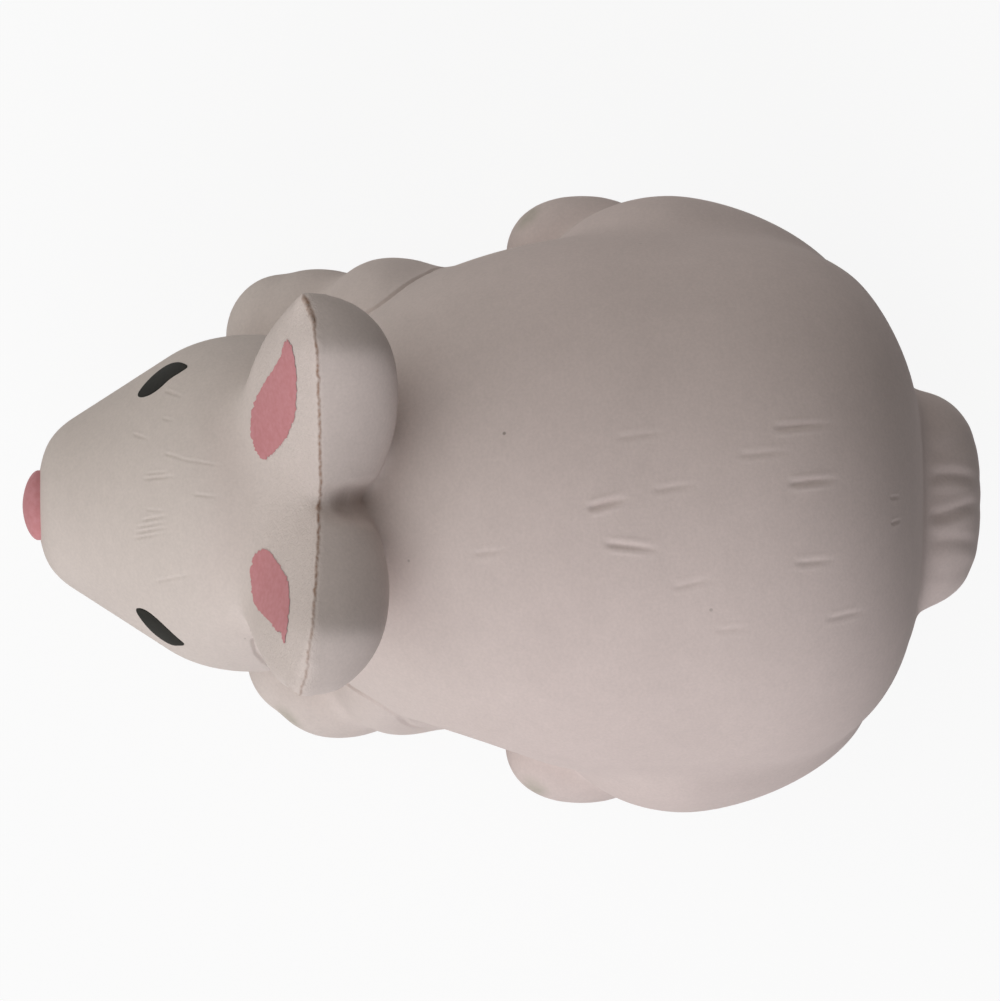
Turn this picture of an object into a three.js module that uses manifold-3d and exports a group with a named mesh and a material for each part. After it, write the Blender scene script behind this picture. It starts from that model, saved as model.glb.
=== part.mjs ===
// A crouching rabbit stress toy: a squeezable foam figure with painted eyes, nose and ear linings.
// Millimetres, Z up, nose towards -Y, the rabbit's left side towards +X, flat underside on z = 0.
import * as THREE from "three";
import { mergeVertices } from "three/addons/utils/BufferGeometryUtils.js";
import Module from "manifold-3d";

const wasm = await Module();
wasm.setup();

// Whole toy
const overallLength = 92;
const gap = 0.3;
const nodClearance = 0.5;
const floorCut = 0.5;
const paintThickness = 0.6;
const sliverSize = 0.03;

// Torso: an egg with a blunt rear
const tailOverhang = 5.6;
const torsoRear = overallLength / 2 - tailOverhang;
const torsoWidest = 14;
const torsoFront = -24;
const torsoHalfWidth = 26;
const torsoCentreHeight = 21;
const torsoRise = 25;
const torsoRearPower = 3.1;
const torsoBasePower = 3.2;

// Head: a blunt muzzle that widens in a straight cone to round cheeks
const noseReach = 1.7;
const muzzleHalfWidth = 7.9;
const muzzleCornerLength = 2.9;
const cheekHalfWidth = 16.1;
const cheekConeEnd = -31;
const cheekConeHalfWidth = 14.4;
const cheekWidest = -23.5;
const headHeightShare = 0.92;
const muzzleHeight = 20.5;
const headCentreHeight = 25.5;

// Nose, eyes
const noseHalfWidth = 3.3;
const noseHalfHeight = 2.5;
const noseHeight = 22;
const eyeStation = -32;
const eyeAngle = 24;
const eyeLength = 6.2;
const eyeHeight = 4;

// Ears: fat leaves that splay outwards. The rim climbs from the middle line to a crest and drops to the
// tip, the front falls from the rim to the foot, and the back is a dome.
const earInner = -2;
const earTipOut = 18.6;
const earTipStation = -18.3;
const earCrestOut = 13;
const earCrestHeight = 52.7;
const earCrestRounding = 1.2;
const earRimPitch = 0.64;
const earRimStation = -16.8;
const earRimPower = 4;
const earFootStation = -24.8;
const earFootHeight = 37;
const earFootPower = 3.5;
const earDeepestOut = 10;
const earDomeInnerReach = 11.6;
const earDomeOuterPower = 2.3;
const earBackDepth = 7.1;
const earBackSlope = 1;
const earBackFall = 5;
const earKeelStation = -20;
const earKeelHeight = 35;
const earKeelPower = 6;
const earHingeStation = -16.5;
const earHingeHeight = 38;
const earBend = 20;
const liningLowOut = 4.1;
const liningLowRise = 0.33;
const liningHighOut = 15;
const liningHighRise = 0.44;
const liningHalfWidth = 3.6;
const liningPressDepth = 3;

// Forelegs
const forelegOut = 16.8;
const forelegStation = -10.5;
const forelegHalfWidth = 7;
const forelegHalfLength = 7;
const forelegHeight = 23;
const pawOut = 16.5;
const pawStation = -17.3;
const pawHalfWidth = 6.5;
const pawHalfLength = 8.7;
const pawHeight = 11.5;

// Hind legs
const haunchOut = 19.5;
const haunchStation = 17;
const haunchHalfWidth = 10.4;
const haunchFrontLength = 13.3;
const haunchRearLength = 17.7;
const haunchRearPower = 1.65;
const haunchHeight = 28;
const footOut = 23.8;
const footStation = 8.6;
const footHalfWidth = 6.2;
const footFrontLength = 7.7;
const footRearLength = 8.2;
const footFrontPower = 2.3;
const footHeight = 10;

// Tail
const tailReach = 9.7;
const tailStation = overallLength / 2 - tailReach;
const tailHalfWidth = 11.3;
const tailHeight = 16;
const tailHalfHeight = 9;
const tailPower = 2.6;

const foam = { color: "#d8cfc7", roughness: 0.85, metalness: 0 };
const pink = { color: "#d19a9d", roughness: 0.6, metalness: 0 };
const dark = { color: "#2f302b", roughness: 0.45, metalness: 0 };

// Closed surface of rings between two poles; point(share, angle) gives a point on it.
function loft(point, rings, sides) {
  const positions = [...point(0, 0)];
  for (let ring = 1; ring < rings; ring += 1) {
    for (let side = 0; side < sides; side += 1) {
      positions.push(...point(ring / rings, (side / sides) * 2 * Math.PI));
    }
  }
  positions.push(...point(1, 0));
  const last = positions.length / 3 - 1;
  const vertex = (ring, side) => 1 + (ring - 1) * sides + (side % sides);
  const index = [];
  for (let side = 0; side < sides; side += 1) {
    index.push(0, vertex(1, side), vertex(1, side + 1));
    for (let ring = 1; ring < rings - 1; ring += 1) {
      const [a, b] = [vertex(ring, side), vertex(ring, side + 1)];
      const [c, d] = [vertex(ring + 1, side), vertex(ring + 1, side + 1)];
      index.push(a, c, b, b, c, d);
    }
    index.push(vertex(rings - 1, side), last, vertex(rings - 1, side + 1));
  }
  const geometry = new THREE.BufferGeometry();
  geometry.setAttribute("position", new THREE.Float32BufferAttribute(positions, 3));
  geometry.setIndex(index);
  return geometry;
}

const signedPower = (value, power) => Math.sign(value) * Math.abs(value) ** power;

// Egg along Y with its own reach each way and its own roundness for each end, the top and the base.
function egg(spec, rings, sides) {
  const { out = 0, station, height, front, rear, half, up, down } = spec;
  const { frontPower = 2, rearPower = 2, topPower = 2, basePower = 2 } = spec;
  return loft((share, angle) => {
    const along = -Math.cos(Math.PI * share);
    const endPower = 2 / (along < 0 ? frontPower : rearPower);
    const size = Math.max(0, Math.sin(Math.PI * share)) ** endPower;
    const sectionPower = 2 / (Math.sin(angle) < 0 ? basePower : topPower);
    const sideways = signedPower(Math.cos(angle), sectionPower);
    const upwards = signedPower(Math.sin(angle), sectionPower);
    return [
      out + half * size * sideways,
      station + (along < 0 ? front : rear) * signedPower(along, endPower),
      height + (upwards < 0 ? down : up) * size * upwards,
    ];
  }, rings, sides);
}

function grown(geometry, amount) {
  const copy = geometry.clone();
  copy.computeVertexNormals();
  const position = copy.getAttribute("position");
  const normal = copy.getAttribute("normal");
  const point = new THREE.Vector3();
  const outward = new THREE.Vector3();
  for (let i = 0; i < position.count; i += 1) {
    point.fromBufferAttribute(position, i);
    outward.fromBufferAttribute(normal, i);
    position.setXYZ(i, ...point.addScaledVector(outward, amount));
  }
  return copy;
}

function turned(geometry, degrees, pivot) {
  const copy = geometry.clone();
  copy.translate(-pivot.x, -pivot.y, -pivot.z);
  copy.rotateX(THREE.MathUtils.degToRad(degrees));
  return copy.translate(pivot.x, pivot.y, pivot.z);
}

function solid(geometry) {
  const bare = geometry.clone();
  bare.deleteAttribute("normal");
  bare.deleteAttribute("uv");
  const merged = mergeVertices(bare, 1e-5);
  return new wasm.Manifold(new wasm.Mesh({
    numProp: 3,
    vertProperties: new Float32Array(merged.getAttribute("position").array),
    triVerts: new Uint32Array(merged.getIndex().array),
  }));
}

const mirrored = (body) => body.mirror([1, 0, 0]);

const largest = (body) => body.decompose().sort((a, b) => b.volume() - a.volume())[0];

function without(body, ...cutters) {
  return cutters.reduce((rest, cutter) => rest.subtract(cutter), body);
}

const outside = 2 * overallLength;
const belowFloor = solid(new THREE.BoxGeometry(outside, outside, outside).translate(0, 0, -outside / 2));

// Torso
const torsoForm = egg({
  station: torsoWidest,
  height: torsoCentreHeight,
  front: torsoWidest - torsoFront,
  rear: torsoRear - torsoWidest,
  half: torsoHalfWidth,
  up: torsoRise,
  down: torsoCentreHeight + floorCut,
  rearPower: torsoRearPower,
  basePower: torsoBasePower,
}, 24, 28);

// Head
const headFront = -overallLength / 2 + noseReach;
const headRadius = headHeightShare * cheekHalfWidth;
const headRear = cheekWidest + headRadius;
const muzzleCorner = headFront + muzzleCornerLength;
const headOutline = new THREE.Path();
headOutline.moveTo(headFront, 0);
headOutline.bezierCurveTo(
  headFront, 0.65 * muzzleHalfWidth,
  headFront + 0.35 * muzzleCornerLength, 0.82 * muzzleHalfWidth,
  muzzleCorner, muzzleHalfWidth,
);
headOutline.lineTo(cheekConeEnd, cheekConeHalfWidth);
headOutline.bezierCurveTo(
  cheekConeEnd + 0.33 * (cheekWidest - cheekConeEnd), cheekHalfWidth - 0.4,
  cheekConeEnd + 0.67 * (cheekWidest - cheekConeEnd), cheekHalfWidth,
  cheekWidest, cheekHalfWidth,
);
headOutline.bezierCurveTo(
  cheekWidest + 0.55 * (headRear - cheekWidest), cheekHalfWidth,
  headRear, 0.55 * cheekHalfWidth,
  headRear, 0,
);
const headRings = 20;
const headStations = headOutline.getSpacedPoints(headRings);

function headPoint(station, halfWidth, angle) {
  const back = THREE.MathUtils.smoothstep(station, headFront, cheekWidest);
  const centre = THREE.MathUtils.lerp(muzzleHeight, headCentreHeight, back);
  const rise = headHeightShare * halfWidth * Math.sin(angle);
  return new THREE.Vector3(halfWidth * Math.cos(angle), station, centre + rise);
}

const headForm = loft((share, angle) => {
  const { x, y } = headStations[Math.round(share * headRings)];
  return headPoint(x, y, angle);
}, headRings, 24);

// The back of the head is a ball about the nodding axis, so the room it needs stays the same as it nods
const headRoom = solid(egg({
  station: cheekWidest,
  height: headCentreHeight,
  front: headRadius + nodClearance,
  rear: headRadius + nodClearance,
  half: cheekHalfWidth + nodClearance,
  up: headRadius + nodClearance,
  down: headRadius + nodClearance,
}, 18, 24));

// Ears, the left one first
function earRimHeight(out) {
  return earCrestHeight - earRimPitch * (Math.hypot(out - earCrestOut, earCrestRounding) - earCrestRounding);
}

function earEdge(out, station, height, power) {
  const share = THREE.MathUtils.clamp(out / earTipOut, 0, 1) ** power;
  return new THREE.Vector3(
    out,
    THREE.MathUtils.lerp(station, earTipStation, share),
    THREE.MathUtils.lerp(height, earRimHeight(earTipOut), share),
  );
}

const earFoot = (out) => earEdge(out, earFootStation, earFootHeight, earFootPower);
const earKeel = (out) => earEdge(out, earKeelStation, earKeelHeight, earKeelPower);
const earRim = (out) => earEdge(out, earRimStation, 0, earRimPower).setZ(earRimHeight(out));
const earFront = (out, rise) => earFoot(out).lerp(earRim(out), rise);

function earBackShare(out) {
  const aside = out - earDeepestOut;
  const reach = aside < 0 ? earDomeInnerReach : earTipOut - earDeepestOut;
  const power = aside < 0 ? 2 : earDomeOuterPower;
  return Math.max(0, 1 - Math.abs(aside / reach) ** power) ** (1 / power);
}

const earForm = loft((share, angle) => {
  const out = THREE.MathUtils.lerp(earInner, earTipOut, (1 + Math.cos(Math.PI * share)) / 2);
  if (share === 1) return earRim(out).lerp(earKeel(out), 0.5);
  const [behind, above] = [Math.cos(angle) >= 0, Math.sin(angle) >= 0];
  const [back, lift] = [Math.abs(Math.cos(angle)), Math.abs(Math.sin(angle))];
  if (above && !behind) return earFront(out, Math.atan2(lift, back) / (Math.PI / 2));
  const deep = earBackShare(out);
  const dome = (reach, fall) => earRim(out).add(
    new THREE.Vector3(0, earBackDepth * deep * reach, -deep * (earBackSlope * reach + earBackFall * fall)),
  );
  if (above) return dome(back, 1 - lift);
  const edge = behind ? dome(1, 1) : earFoot(out);
  const keel = earKeel(out);
  return new THREE.Vector3(
    out,
    THREE.MathUtils.lerp(keel.y, edge.y, back),
    THREE.MathUtils.lerp(edge.z, keel.z, lift),
  );
}, 14, 16);
const besideLeft = solid(
  new THREE.BoxGeometry(outside, outside, outside).translate((gap - outside) / 2, 0, 0),
);
const earPivot = new THREE.Vector3(0, earHingeStation, earHingeHeight);
const leftEarSweep = [-earBend, -earBend / 2, 0, earBend / 2, earBend].map((angle) => (
  solid(turned(grown(earForm, gap), angle, earPivot))
));

const torso = largest(without(solid(torsoForm), belowFloor, headRoom));
const torsoSpace = solid(grown(torsoForm, gap));
const head = largest(
  without(solid(headForm), ...leftEarSweep, ...leftEarSweep.map(mirrored)).asOriginal().simplify(sliverSize),
);
const headSkin = solid(grown(headForm, gap));
const leftEar = largest(without(solid(earForm), besideLeft, torsoSpace));

// Pink linings on the ear fronts: a teardrop seen from the front, pressed onto the curved face
const liningLow = earFront(liningLowOut, liningLowRise);
const liningHigh = earFront(liningHighOut, liningHighRise);
const liningLength = liningLow.distanceTo(liningHigh);
const liningAlong = liningHigh.clone().sub(liningLow).normalize();
const liningUpwards = earRim(liningLowOut).sub(earFoot(liningLowOut));
const liningForward = liningAlong.clone().cross(liningUpwards).normalize();
const liningShape = new THREE.Shape();
const liningBend = (liningHalfWidth + liningLength) / 2;
liningShape.moveTo(0, liningLength);
liningShape.quadraticCurveTo(-liningHalfWidth, liningBend, -liningHalfWidth, liningHalfWidth);
liningShape.absarc(0, liningHalfWidth, liningHalfWidth, Math.PI, 2 * Math.PI, false);
liningShape.quadraticCurveTo(liningHalfWidth, liningBend, 0, liningLength);
const liningPrism = new THREE.ExtrudeGeometry(liningShape, {
  depth: 2 * liningPressDepth,
  bevelEnabled: false,
  curveSegments: 6,
});
liningPrism.translate(0, 0, -liningPressDepth);
liningPrism.applyMatrix4(
  new THREE.Matrix4().makeBasis(liningAlong.clone().cross(liningForward), liningAlong, liningForward)
    .setPosition(liningLow),
);
const earSkin = solid(grown(earForm, gap));
const leftEarLining = largest(without(
  solid(grown(earForm, gap + paintThickness)).intersect(solid(liningPrism)),
  earSkin,
  besideLeft,
  headSkin,
));

// Eyes: ovals pressed onto the side of the head
const eyeOutline = headStations.findIndex((point) => point.x > eyeStation);
const [eyeBefore, eyeAfter] = [headStations[eyeOutline - 1], headStations[eyeOutline]];
const eyeHalfWidth = THREE.MathUtils.mapLinear(eyeStation, eyeBefore.x, eyeAfter.x, eyeBefore.y, eyeAfter.y);
const eyeTurn = THREE.MathUtils.degToRad(eyeAngle);
const eyeCentre = headPoint(eyeStation, eyeHalfWidth, eyeTurn);
const eyeLengthways = headPoint(eyeAfter.x, eyeAfter.y, eyeTurn).sub(headPoint(eyeBefore.x, eyeBefore.y, eyeTurn));
const eyeUpwards = headPoint(eyeStation, eyeHalfWidth, eyeTurn + 0.1).sub(eyeCentre);
const eyeNormal = eyeLengthways.clone().cross(eyeUpwards).normalize();
const eyeBack = eyeLengthways.normalize();
const eyePrism = new THREE.CylinderGeometry(0.5, 0.5, 6, 24).scale(eyeHeight, 1, eyeLength);
eyePrism.applyMatrix4(
  new THREE.Matrix4().makeBasis(eyeNormal.clone().cross(eyeBack), eyeNormal, eyeBack).setPosition(eyeCentre),
);
const leftEye = largest(without(
  solid(grown(headForm, gap + paintThickness)).intersect(solid(eyePrism)),
  headSkin,
));

// Nose
const noseForm = egg({
  station: headFront,
  height: noseHeight,
  front: noseReach,
  rear: noseReach + 1,
  half: noseHalfWidth,
  up: noseHalfHeight,
  down: noseHalfHeight,
  frontPower: 2.5,
}, 8, 12);
const nose = largest(without(solid(noseForm), headSkin));

// Forelegs
const forelegForm = egg({
  out: forelegOut,
  station: forelegStation,
  height: (forelegHeight - floorCut) / 2,
  front: forelegHalfLength,
  rear: forelegHalfLength,
  half: forelegHalfWidth,
  up: (forelegHeight + floorCut) / 2,
  down: (forelegHeight + floorCut) / 2,
}, 10, 12);
const leftForeleg = largest(without(solid(forelegForm), belowFloor, torsoSpace, headRoom));
const pawForm = egg({
  out: pawOut,
  station: pawStation,
  height: (pawHeight - floorCut) / 2,
  front: pawHalfLength,
  rear: pawHalfLength,
  half: pawHalfWidth,
  up: (pawHeight + floorCut) / 2,
  down: (pawHeight + floorCut) / 2,
  basePower: 2.6,
}, 10, 14);
const leftForepaw = largest(
  without(solid(pawForm), belowFloor, torsoSpace, solid(grown(forelegForm, gap)), headRoom),
);

// Hind legs
const haunchForm = egg({
  out: haunchOut,
  station: haunchStation,
  height: (haunchHeight - floorCut) / 2,
  front: haunchFrontLength,
  rear: haunchRearLength,
  half: haunchHalfWidth,
  up: (haunchHeight + floorCut) / 2,
  down: (haunchHeight + floorCut) / 2,
  rearPower: haunchRearPower,
}, 12, 18);
const leftHaunch = largest(without(solid(haunchForm), belowFloor, torsoSpace));
const footForm = egg({
  out: footOut,
  station: footStation,
  height: (footHeight - floorCut) / 2,
  front: footFrontLength,
  rear: footRearLength,
  half: footHalfWidth,
  up: (footHeight + floorCut) / 2,
  down: (footHeight + floorCut) / 2,
  frontPower: footFrontPower,
  basePower: 2.6,
}, 10, 14);
const leftHindFoot = largest(without(solid(footForm), belowFloor, torsoSpace, solid(grown(haunchForm, gap))));

// Tail
const tailForm = egg({
  station: tailStation,
  height: tailHeight,
  front: tailHalfWidth,
  rear: tailReach,
  half: tailHalfWidth,
  up: tailHalfHeight,
  down: tailHalfHeight,
  rearPower: tailPower,
}, 12, 18);
const tail = largest(without(solid(tailForm), torsoSpace));

const group = new THREE.Group();

function place(name, body, look) {
  const mesh = body.getMesh();
  const geometry = new THREE.BufferGeometry();
  geometry.setAttribute("position", new THREE.BufferAttribute(new Float32Array(mesh.vertProperties), 3));
  geometry.setIndex(new THREE.BufferAttribute(new Uint32Array(mesh.triVerts), 1));
  geometry.computeVertexNormals();
  const part = new THREE.Mesh(geometry, new THREE.MeshStandardMaterial(look));
  part.name = name;
  group.add(part);
}

function placePair(name, leftBody, look) {
  place(`left_${name}`, leftBody, look);
  place(`right_${name}`, mirrored(leftBody), look);
}

place("torso", torso, foam);
place("head", head, foam);
placePair("ear", leftEar, foam);
placePair("ear_lining", leftEarLining, pink);
placePair("eye", leftEye, dark);
place("nose", nose, pink);
placePair("foreleg", leftForeleg, foam);
placePair("forepaw", leftForepaw, foam);
placePair("haunch", leftHaunch, foam);
placePair("hind_foot", leftHindFoot, foam);
place("tail", tail, foam);

export default group;
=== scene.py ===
import math
import bpy
import numpy as np
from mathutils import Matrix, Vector
from mathutils.bvhtree import BVHTree


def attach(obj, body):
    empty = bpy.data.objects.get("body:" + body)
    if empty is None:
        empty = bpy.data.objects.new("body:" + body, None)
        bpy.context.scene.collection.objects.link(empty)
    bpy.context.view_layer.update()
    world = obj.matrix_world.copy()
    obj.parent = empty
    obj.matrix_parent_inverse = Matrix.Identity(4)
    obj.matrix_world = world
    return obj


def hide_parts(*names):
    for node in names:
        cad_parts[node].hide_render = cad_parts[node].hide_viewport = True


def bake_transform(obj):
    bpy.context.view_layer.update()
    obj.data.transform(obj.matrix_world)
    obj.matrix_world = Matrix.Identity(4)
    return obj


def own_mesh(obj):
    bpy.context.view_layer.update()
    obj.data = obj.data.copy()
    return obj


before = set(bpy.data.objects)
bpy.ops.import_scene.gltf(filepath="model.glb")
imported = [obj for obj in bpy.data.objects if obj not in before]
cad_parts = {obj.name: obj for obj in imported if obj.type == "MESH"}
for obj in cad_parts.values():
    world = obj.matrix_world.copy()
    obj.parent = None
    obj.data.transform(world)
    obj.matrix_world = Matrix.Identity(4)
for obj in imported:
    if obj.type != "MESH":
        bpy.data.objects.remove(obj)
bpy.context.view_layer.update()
mm = 0.001  # settings are millimetres, Blender works in metres
print("frame loaded")


# small hand tools

def readPoints(piece):
    flat = np.empty(len(piece.data.vertices) * 3)
    piece.data.vertices.foreach_get("co", flat)
    return flat.reshape(-1, 3) / mm


def writePoints(piece, points):
    piece.data.vertices.foreach_set("co", (points * mm).ravel())
    piece.data.update()


def readNormals(piece):
    flat = np.empty(len(piece.data.vertices) * 3)
    piece.data.vertex_normals.foreach_get("vector", flat)
    return flat.reshape(-1, 3)


def readEdges(piece):
    flat = np.empty(len(piece.data.edges) * 2, dtype=np.int64)
    piece.data.edges.foreach_get("vertices", flat)
    return flat.reshape(-1, 2)


def pickOnly(*pieces):
    bpy.ops.object.select_all(action="DESELECT")
    for piece in pieces:
        piece.select_set(True)
    bpy.context.view_layer.objects.active = pieces[0]


def copyOf(piece, name):
    pickOnly(piece)
    bpy.ops.object.duplicate()
    copy = bpy.context.active_object
    copy.name = name
    return copy


def finishWith(piece, kind, **settings):
    pickOnly(piece)
    change = piece.modifiers.new(kind.title(), kind)
    for name, value in settings.items():
        setattr(change, name, value)
    bpy.ops.object.modifier_apply(modifier=change.name)


def trim(piece, tool, operation):
    finishWith(piece, "BOOLEAN", object=tool, operation=operation, solver="MANIFOLD")


def putAway(*pieces):
    pickOnly(*pieces)
    bpy.ops.object.delete()


def ease(value, low, high):  # 0 below low, 1 above high, smooth between
    share = np.clip((value - low) / (high - low), 0, 1)
    return share * share * (3 - 2 * share)


def signedPower(value, power):
    return np.sign(value) * np.abs(value) ** power


def unitBall(name, rings, sides):  # sphere primitive, read with its poles towards nose and tail
    bpy.ops.object.select_all(action="DESELECT")
    bpy.ops.mesh.primitive_uv_sphere_add(segments=sides, ring_count=rings, radius=1)
    piece = bpy.context.active_object
    piece.name = name
    x, y, z = (readPoints(piece) * mm).T
    along = np.clip(z, -1, 1)
    girth = np.sqrt(np.maximum(1 - along ** 2, 0))
    spread = np.maximum(girth, 1e-9)
    return piece, along, girth, -x / spread, y / spread


def makeEgg(name, form, rings=110, sides=140):
    piece, along, girth, sideways, upwards = unitBall(name, rings, sides)
    endPower = 2 / np.where(along < 0, form.get("frontPower", 2), form.get("rearPower", 2))
    sectionPower = 2 / np.where(upwards < 0, form.get("basePower", 2), form.get("topPower", 2))
    size = girth ** endPower
    out = form.get("out", 0) + form["half"] * size * signedPower(sideways, sectionPower)
    reach = np.where(along < 0, form["front"], form["rear"])
    station = form["station"] + reach * signedPower(along, endPower)
    rise = np.where(upwards < 0, form["down"], form["up"])
    height = form["height"] + rise * size * signedPower(upwards, sectionPower)
    writePoints(piece, np.stack((out, station, height), axis=1))
    return piece


# torso: an egg with a blunt rear
torsoForm = {
    "station": 14, "front": 38, "rear": 26.4, "half": 26,
    "height": 21, "up": 25, "down": 21.5,
    "rearPower": 3.05, "basePower": 3.2,
}

# head: a blunt muzzle, a straight cone and round cheeks; the rear is a ball about the nodding axis
headForm = {
    "front": -44.3, "muzzleHalf": 7.9, "muzzleCorner": 2.9,
    "coneEnd": -31, "coneHalf": 14.4, "widest": -23.5, "cheekHalf": 16.1,
    "heightShare": 0.92, "muzzleHeight": 20.5, "cheekHeight": 25.5,
}

# ears: the rim climbs from the middle line to a crest and drops to the tip, the front falls from it to the
# foot, and the back is a fat dome
earForm = {
    "inner": -2, "pitch": 0.64, "crestRound": 1.2, "crown": 0.4,
    "footStation": -24.8, "footHeight": 37, "edgePower": 3.5,
    "innerReach": 11.6, "tilt": 0.15, "fall": 5,
    "keelStation": -20, "keelHeight": 35, "keelPower": 6,
}
earForms = {
    1: {
        **earForm, "tipOut": 18.2, "tipStation": -18.7, "rimStation": -16.9, "rimPower": 3,
        "crestOut": 11.8, "crestHeight": 52, "deepestOut": 9.5, "backDepth": 6.9, "outerPower": 2.2,
    },
    -1: {
        **earForm, "tipOut": 19.4, "tipStation": -18, "rimStation": -16.7, "rimPower": 6,
        "crestOut": 14.4, "crestHeight": 53.4, "deepestOut": 10.4, "backDepth": 7.35, "outerPower": 2.4,
    },
}

# limbs of the left side, and the tail
forelegForm = {
    "out": 16.9, "station": -10.5, "front": 7, "rear": 9, "half": 7,
    "height": 11.25, "up": 15, "down": 11.75,
}
forepawForm = {
    "out": 16.7, "station": -17.2, "front": 7.2, "rear": 8.7, "half": 6.6,
    "height": 5.5, "up": 6, "down": 6, "basePower": 2.6,
}
toesForm = {
    "out": 15.6, "station": -20.3, "front": 5.6, "rear": 5.3, "half": 6.2,
    "height": 4.7, "up": 5.4, "down": 5.2, "basePower": 2.6,
}
haunchForm = {
    "out": 19.5, "station": 17, "front": 13.3, "rear": 17.7, "half": 10.4,
    "height": 13.75, "up": 14.25, "down": 14.25, "rearPower": 1.65,
}
hindFootForm = {
    "out": 23.8, "station": 8.6, "front": 7.7, "rear": 8.2, "half": 6.2,
    "height": 4.75, "up": 5.25, "down": 5.25, "frontPower": 2.3, "basePower": 2.6,
}
handMade = {  # the sides differ a little: out, station
    "left_foreleg": (-1.3, 1.0), "left_forepaw": (-0.2, 1.3), "right_forepaw": (-0.3, -0.7),
    "left_toes": (-0.7, 1.0), "right_toes": (0.7, -1.0),
    "left_haunch": (0.1, 1.0), "right_haunch": (-0.1, -0.5),
    "left_hind_foot": (-0.5, -0.4), "right_hind_foot": (0.2, -0.3),
}
tailForm = {
    "out": -0.35, "station": 36.3, "front": 11.3, "rear": 10.1, "half": 10.9,
    "height": 16, "up": 9, "down": 9, "rearPower": 3, "topPower": 2.4,
}


def bezierRun(a, b, c, d, count=40):
    t = np.linspace(0, 1, count)[:, None]
    a, b, c, d = (np.array(p, float) for p in (a, b, c, d))
    return a * (1 - t) ** 3 + 3 * b * t * (1 - t) ** 2 + 3 * c * t ** 2 * (1 - t) + d * t ** 3


def makeHead(name, form, rings=120, sides=140):
    front, corner = form["front"], form["front"] + form["muzzleCorner"]
    muzzle, cheek, widest = form["muzzleHalf"], form["cheekHalf"], form["widest"]
    rear = widest + form["heightShare"] * cheek
    run = widest - form["coneEnd"]
    outline = np.concatenate((
        bezierRun((front, 0), (front, 0.65 * muzzle),
                  (front + 0.35 * form["muzzleCorner"], 0.82 * muzzle), (corner, muzzle)),
        bezierRun((form["coneEnd"], form["coneHalf"]), (form["coneEnd"] + 0.33 * run, cheek - 0.4),
                  (form["coneEnd"] + 0.67 * run, cheek), (widest, cheek)),
        bezierRun((widest, cheek), (widest + 0.55 * (rear - widest), cheek),
                  (rear, 0.55 * cheek), (rear, 0))[1:],
    ))
    walked = np.concatenate(([0], np.cumsum(np.hypot(*np.diff(outline, axis=0).T))))
    piece, along, girth, sideways, upwards = unitBall(name, rings, sides)
    share = np.arccos(-along) / math.pi * walked[-1]
    station = np.interp(share, walked, outline[:, 0])
    half = np.interp(share, walked, outline[:, 1])
    back = ease(station, front, widest)
    centre = form["muzzleHeight"] + (form["cheekHeight"] - form["muzzleHeight"]) * back
    height = centre + form["heightShare"] * half * upwards
    writePoints(piece, np.stack((half * sideways, station, height), axis=1))
    return piece


def leafShare(lengthShare, power):  # share of the full width at a share of the length
    return np.maximum(1 - np.abs(lengthShare) ** power, 0) ** (1 / power)


def earSpots(form, out):  # foot, rim, rear edge and keel of the ear's cross-section at a distance out
    share = np.clip(out / form["tipOut"], 0, 1)

    def rimHeight(place):
        away = np.hypot(place - form["crestOut"], form["crestRound"]) - form["crestRound"]
        return form["crestHeight"] - form["pitch"] * away

    def towardsTip(station, height, power):
        left = 1 - share ** power
        return np.stack((form["tipStation"] + (station - form["tipStation"]) * left,
                         rimHeight(form["tipOut"]) + (height - rimHeight(form["tipOut"])) * left), axis=1)

    foot = towardsTip(form["footStation"], form["footHeight"], form["edgePower"])
    keel = towardsTip(form["keelStation"], form["keelHeight"], form["keelPower"])
    rim = np.stack((towardsTip(form["rimStation"], 0, form["rimPower"])[:, 0], rimHeight(out)), axis=1)
    aside = out - form["deepestOut"]
    reach = np.where(aside < 0, form["innerReach"], form["tipOut"] - form["deepestOut"])
    depth = leafShare(aside / reach, np.where(aside < 0, 2, form["outerPower"]))
    drop = form["tilt"] * form["backDepth"] + form["fall"]
    rear = rim + np.stack((form["backDepth"] * depth, -drop * depth), axis=1)
    return foot, rim, rear, keel


def makeEar(name, form, side, rings=110, sides=150):
    piece, along, girth, sideways, upwards = unitBall(name, rings, sides)
    out = (form["tipOut"] + form["inner"] - side * along * (form["tipOut"] - form["inner"])) / 2
    foot, rim, rear, keel = earSpots(form, out)
    back, lift = np.abs(sideways)[:, None], np.abs(upwards)[:, None]
    turn = np.arctan2(lift, back) / (math.pi / 2)
    front = foot + (rim - foot) * turn + form["crown"] * np.sin(math.pi * turn) * np.array((-0.8, 0.6))
    fallShare = form["fall"] / (form["fall"] + form["tilt"] * form["backDepth"])
    tilted = rear + (rim - rear) * np.array((0, fallShare))
    dome = rim + (tilted - rim) * back + (rear - tilted) * (1 - lift)
    under = np.where((sideways < 0)[:, None], foot, rear)
    below = np.stack((keel[:, 0] + (under[:, 0] - keel[:, 0]) * back[:, 0],
                      under[:, 1] + (keel[:, 1] - under[:, 1]) * lift[:, 0]), axis=1)
    section = np.where((upwards < 0)[:, None], below, np.where((sideways < 0)[:, None], front, dome))
    writePoints(piece, np.column_stack((side * out, section)))
    return piece


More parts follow.
